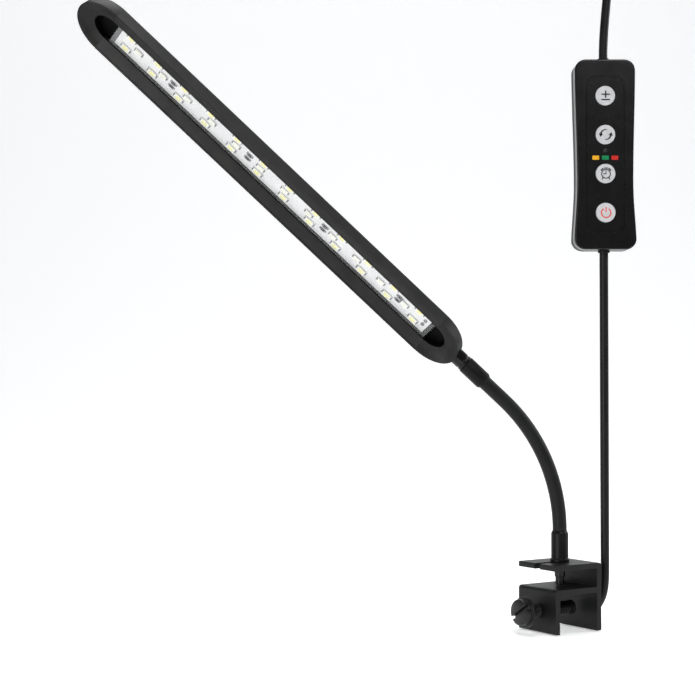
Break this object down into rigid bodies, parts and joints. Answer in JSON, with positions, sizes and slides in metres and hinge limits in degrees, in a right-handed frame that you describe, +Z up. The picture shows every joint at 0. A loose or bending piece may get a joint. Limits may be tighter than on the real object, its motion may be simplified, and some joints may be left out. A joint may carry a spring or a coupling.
{
  "type": "clip-on aquarium light",
  "caption": "Clip-on aquarium light: slim LED head on a bendable gooseneck, screw clamp for the tank rim, and an in-line push-button controller on its lead.",
  "frame": {"origin": "middle of the rim seat, the underside of the clamp's middle plate, which lies on the rim of the glass", "axes": "+X from the clamp screw to the fixed jaw, +Y along the rim, +Z up"},
  "size_m": [0.2969, 0.153, 0.5084],
  "materials": {
    "black_anodised": "black anodised extrusion, satin",
    "black_coated_steel": "black oxide and paint, semi-gloss",
    "matte_black_plastic": "moulded, fine satin",
    "gloss_black_plastic": "moulded, glossy",
    "black_silicone": "smooth matt sleeve",
    "black_rubber": "moulded, matt",
    "lead_jacket": "smooth PVC jacket",
    "plated_steel": "nickel plated",
    "white_solder_mask": "white board lacquer",
    "thermal_tape": "grey thermal tape",
    "phosphor": "white package with yellow phosphor",
    "led_package": "white package",
    "chip_black": "glazed ceramic chip",
    "solder": "bright solder",
    "clip_grey": "grey moulded clip",
    "clear_acrylic": "clear extruded acrylic",
    "green_board": "green board lacquer",
    "button_white": "moulded, satin",
    "lamp_amber": "tinted light pipe",
    "lamp_green": "tinted light pipe",
    "lamp_red": "tinted light pipe",
    "lamp_smoke": "smoked light pipe"
  },
  "bodies": {
    "root": {"clamp_bracket": "black_anodised", "threaded_stud": "black_coated_steel", "lock_nut": "black_coated_steel", "lock_washer": "black_coated_steel", "lower_ferrule": "black_coated_steel", "strain_relief": "black_rubber", "controller_front": "gloss_black_plastic", "controller_back": "matte_black_plastic", "controller_panel": "gloss_black_plastic", "controller_board": "green_board", "tact_switches": "chip_black", "status_lamp": "lamp_smoke", "timer_lamp_amber": "lamp_amber", "timer_lamp_green": "lamp_green", "timer_lamp_red": "lamp_red", "controller_screws": "plated_steel", "gland_lower": "black_rubber", "gland_upper": "black_rubber", "lead_lower": "lead_jacket", "lead_upper": "lead_jacket", "lead_coil": "lead_jacket", "lead_tail": "lead_jacket", "coil_ties": "black_rubber", "adapter_front": "gloss_black_plastic", "adapter_back": "matte_black_plastic", "adapter_board": "green_board", "adapter_blades": "plated_steel", "adapter_relief": "black_rubber"},
    "neck_base": {"neck_seg_0": "black_silicone"},
    "neck_link_1": {"neck_seg_1": "black_silicone"},
    "neck_link_2": {"neck_seg_2": "black_silicone"},
    "neck_link_3": {"neck_seg_3": "black_silicone"},
    "neck_link_4": {"neck_seg_4": "black_silicone"},
    "neck_link_5": {"neck_seg_5": "black_silicone"},
    "neck_link_6": {"neck_seg_6": "black_silicone", "upper_ferrule": "black_coated_steel"},
    "head": {"neck_collar": "black_coated_steel", "end_cap_neck": "matte_black_plastic", "head_extrusion": "black_anodised", "end_cap_tip": "matte_black_plastic", "cap_screws": "plated_steel", "thermal_tape": "thermal_tape", "circuit_board": "white_solder_mask", "leds_outer": "phosphor", "leds_middle": "led_package", "resistors": "chip_black", "solder_pads": "solder", "strip_end_clip": "clip_grey", "clear_cover": "clear_acrylic", "head_wires": "lead_jacket"},
    "pad": {"pressure_pad": "black_rubber"},
    "screw": {"clamp_screw": "black_coated_steel"},
    "dim_key": {"button_dim": "button_white"},
    "mode_key": {"button_mode": "button_white"},
    "timer_key": {"button_timer": "button_white"},
    "power_key": {"button_power": "button_white"}
  },
  "joints": [
    {"name": "neck_twist", "type": "hinge", "parent": "root", "child": "neck_base", "pos_m": [0, 0, 0.0344], "axis": [0, 0, 1], "range_deg": [-45, 45]},
    {"name": "neck_bend_1", "type": "hinge", "parent": "neck_base", "child": "neck_link_1", "pos_m": [-0.00027, 0.00014, 0.04251], "axis": [-0.454, -0.891, 0], "range_deg": [-10, 22]},
    {"name": "neck_lean_2", "type": "hinge", "parent": "neck_link_1", "child": "neck_link_2", "pos_m": [-0.00257, 0.00131, 0.05853], "axis": [-0.8653, 0.4409, -0.2383], "range_deg": [-18, 18]},
    {"name": "neck_bend_3", "type": "hinge", "parent": "neck_link_2", "child": "neck_link_3", "pos_m": [-0.00714, 0.00364, 0.07391], "axis": [-0.454, -0.891, 0], "range_deg": [-10, 22]},
    {"name": "neck_lean_4", "type": "hinge", "parent": "neck_link_3", "child": "neck_link_4", "pos_m": [-0.01386, 0.00706, 0.08827], "axis": [-0.7524, 0.3834, -0.5357], "range_deg": [-18, 18]},
    {"name": "neck_bend_5", "type": "hinge", "parent": "neck_link_4", "child": "neck_link_5", "pos_m": [-0.02257, 0.0115, 0.10122], "axis": [-0.454, -0.891, 0], "range_deg": [-10, 22]},
    {"name": "neck_lean_6", "type": "hinge", "parent": "neck_link_5", "child": "neck_link_6", "pos_m": [-0.03288, 0.01675, 0.1126], "axis": [-0.6077, 0.3096, -0.7314], "range_deg": [-18, 18]},
    {"name": "head_swivel", "type": "hinge", "parent": "neck_link_6", "child": "head", "pos_m": [-0.04808, 0.0245, 0.1285], "axis": [-0.6516, 0.332, 0.682], "range_deg": [-90, 90]},
    {"name": "pad_slide", "type": "slide", "parent": "root", "child": "pad", "axis": [1, 0, 0], "range_m": [-0.019, 0.0041]},
    {"name": "screw_turn", "type": "hinge", "parent": "pad", "child": "screw", "pos_m": [-0.02, 0, -0.00963], "axis": [1, 0, 0], "range_deg": [-5490, 1200]},
    {"name": "dim_press", "type": "slide", "parent": "root", "child": "dim_key", "axis": [0.5446, 0.8387, 0], "range_m": [0, 0.0005], "stiffness_N_per_m": 600},
    {"name": "mode_press", "type": "slide", "parent": "root", "child": "mode_key", "axis": [0.5446, 0.8387, 0], "range_m": [0, 0.0005], "stiffness_N_per_m": 600},
    {"name": "timer_press", "type": "slide", "parent": "root", "child": "timer_key", "axis": [0.5446, 0.8387, 0], "range_m": [0, 0.0005], "stiffness_N_per_m": 600},
    {"name": "power_press", "type": "slide", "parent": "root", "child": "power_key", "axis": [0.5446, 0.8387, 0], "range_m": [0, 0.0005], "stiffness_N_per_m": 600}
  ],
  "couplings": [
    {"joint": "screw_turn", "follows": "pad_slide", "rad_per_m": 5026.5}
  ]
}
